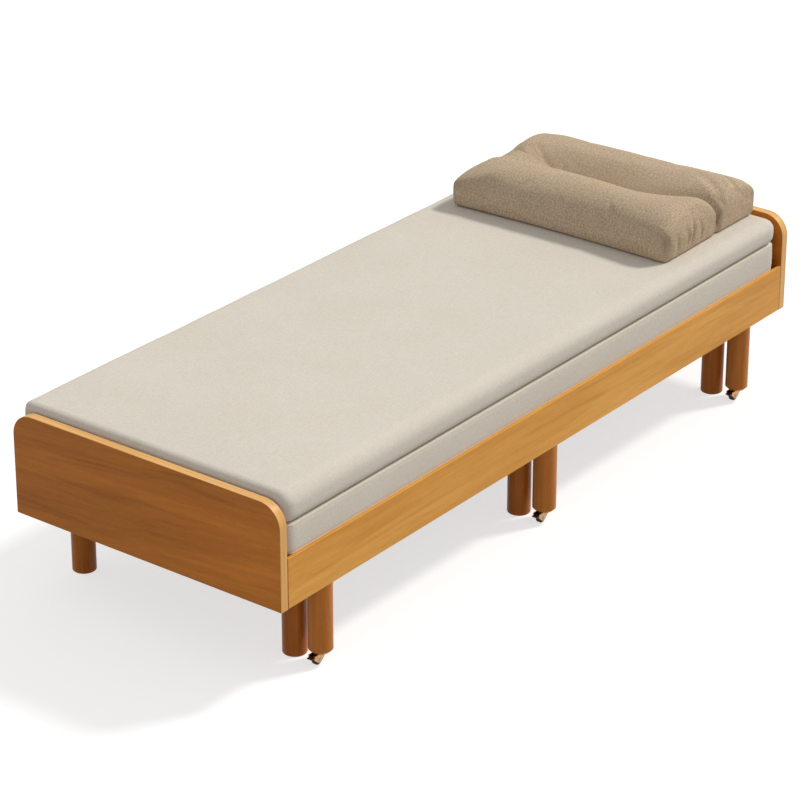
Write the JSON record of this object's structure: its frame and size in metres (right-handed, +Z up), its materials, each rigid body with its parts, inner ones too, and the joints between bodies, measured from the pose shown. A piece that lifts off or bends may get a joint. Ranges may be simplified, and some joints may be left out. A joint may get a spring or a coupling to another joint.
{
  "type": "pull-out sofa bed",
  "caption": "Daybed with wooden end panels, stacked mattresses and a channelled cushion, whose castered slatted front frame slides out to widen the bed.",
  "frame": {"origin": "on the floor, below the centre of the bed's closed outline", "axes": "+X along the bed towards the cushion end, -Y out of the front that pulls out, +Z up"},
  "size_m": [2, 0.76, 0.5714],
  "materials": {
    "frame_wood": "satin lacquer, honey brown",
    "slat_wood": "bare pale wood",
    "mattress_fabric": "fine linen weave",
    "cushion_fabric": "nubby woven",
    "foam": "open-cell foam",
    "steel": "zinc plated",
    "caster_metal": "brass plated pressing",
    "wheel_rubber": "matte black",
    "pedal_plastic": "moulded black",
    "nylon": "natural nylon"
  },
  "bodies": {
    "base": {"left_end_panel": "frame_wood", "right_end_panel": "frame_wood", "back_rail": "frame_wood", "front_beam": "frame_wood", "beam_glides": "nylon", "cross_bearer_left": "frame_wood", "cross_bearer_middle": "frame_wood", "cross_bearer_right": "frame_wood", "fixed_slats": "slat_wood", "fixed_slat_screws": "steel", "bearer_screws": "steel", "beam_screws": "steel", "frame_dowels": "slat_wood", "corner_brackets": "steel", "bracket_screws": "steel", "front_leg_left": "frame_wood", "front_leg_middle": "frame_wood", "front_leg_right": "frame_wood", "back_leg_left": "frame_wood", "back_leg_middle": "frame_wood", "back_leg_right": "frame_wood", "fixed_leg_bolts": "steel"},
    "pull_frame": {"front_rail": "frame_wood", "rear_batten": "frame_wood", "batten_glides": "nylon", "moving_slats": "slat_wood", "moving_slat_screws": "steel", "leg_block_left": "frame_wood", "leg_block_middle": "frame_wood", "leg_block_right": "frame_wood", "block_screws": "steel", "caster_leg_left": "frame_wood", "caster_leg_middle": "frame_wood", "caster_leg_right": "frame_wood", "caster_leg_bolts": "steel", "caster_sockets": "steel"},
    "caster_left": {"caster_fork_left": "caster_metal", "caster_axle_left": "steel", "brake_pin_left": "steel"},
    "wheel_left": {"caster_wheel_left": "wheel_rubber"},
    "pedal_left": {"brake_pedal_left": "pedal_plastic"},
    "caster_middle": {"caster_fork_middle": "caster_metal", "caster_axle_middle": "steel", "brake_pin_middle": "steel"},
    "wheel_middle": {"caster_wheel_middle": "wheel_rubber"},
    "pedal_middle": {"brake_pedal_middle": "pedal_plastic"},
    "caster_right": {"caster_fork_right": "caster_metal", "caster_axle_right": "steel", "brake_pin_right": "steel"},
    "wheel_right": {"caster_wheel_right": "wheel_rubber"},
    "pedal_right": {"brake_pedal_right": "pedal_plastic"},
    "lower_mattress": {"lower_mattress_cover": "mattress_fabric", "lower_mattress_core": "foam"},
    "upper_mattress": {"upper_mattress_cover": "mattress_fabric", "upper_mattress_core": "foam"},
    "cushion": {"cushion_cover": "cushion_fabric", "cushion_filling": "foam"}
  },
  "joints": [
    {"name": "pull_out", "type": "slide", "parent": "base", "child": "pull_frame", "axis": [0, -1, 0], "range_m": [0, 0.635]},
    {"name": "caster_swivel_left", "type": "hinge", "parent": "pull_frame", "child": "caster_left", "pos_m": [-0.835, -0.352, 0.028], "axis": [0, 0, 1], "continuous": true},
    {"name": "wheel_roll_left", "type": "hinge", "parent": "caster_left", "child": "wheel_left", "pos_m": [-0.849, -0.352, 0.012], "axis": [0, 1, 0], "continuous": true},
    {"name": "brake_press_left", "type": "hinge", "parent": "caster_left", "child": "pedal_left", "pos_m": [-0.8641, -0.352, 0.021], "axis": [0, -1, 0], "range_deg": [0, 10]},
    {"name": "caster_swivel_middle", "type": "hinge", "parent": "pull_frame", "child": "caster_middle", "pos_m": [0, -0.352, 0.028], "axis": [0, 0, 1], "continuous": true},
    {"name": "wheel_roll_middle", "type": "hinge", "parent": "caster_middle", "child": "wheel_middle", "pos_m": [-0.014, -0.352, 0.012], "axis": [0, 1, 0], "continuous": true},
    {"name": "brake_press_middle", "type": "hinge", "parent": "caster_middle", "child": "pedal_middle", "pos_m": [-0.0291, -0.352, 0.021], "axis": [0, -1, 0], "range_deg": [0, 10]},
    {"name": "caster_swivel_right", "type": "hinge", "parent": "pull_frame", "child": "caster_right", "pos_m": [0.835, -0.352, 0.028], "axis": [0, 0, 1], "continuous": true},
    {"name": "wheel_roll_right", "type": "hinge", "parent": "caster_right", "child": "wheel_right", "pos_m": [0.821, -0.352, 0.012], "axis": [0, 1, 0], "continuous": true},
    {"name": "brake_press_right", "type": "hinge", "parent": "caster_right", "child": "pedal_right", "pos_m": [0.8059, -0.352, 0.021], "axis": [0, -1, 0], "range_deg": [0, 10]},
    {"name": "lower_mattress_lift", "type": "slide", "parent": "base", "child": "lower_mattress", "axis": [0, 0, 1], "range_m": [0, 0.3]},
    {"name": "upper_mattress_lift", "type": "slide", "parent": "lower_mattress", "child": "upper_mattress", "axis": [0, 0, 1], "range_m": [0, 0.3]},
    {"name": "cushion_lift", "type": "slide", "parent": "upper_mattress", "child": "cushion", "axis": [0, 0, 1], "range_m": [0, 0.3]}
  ]
}
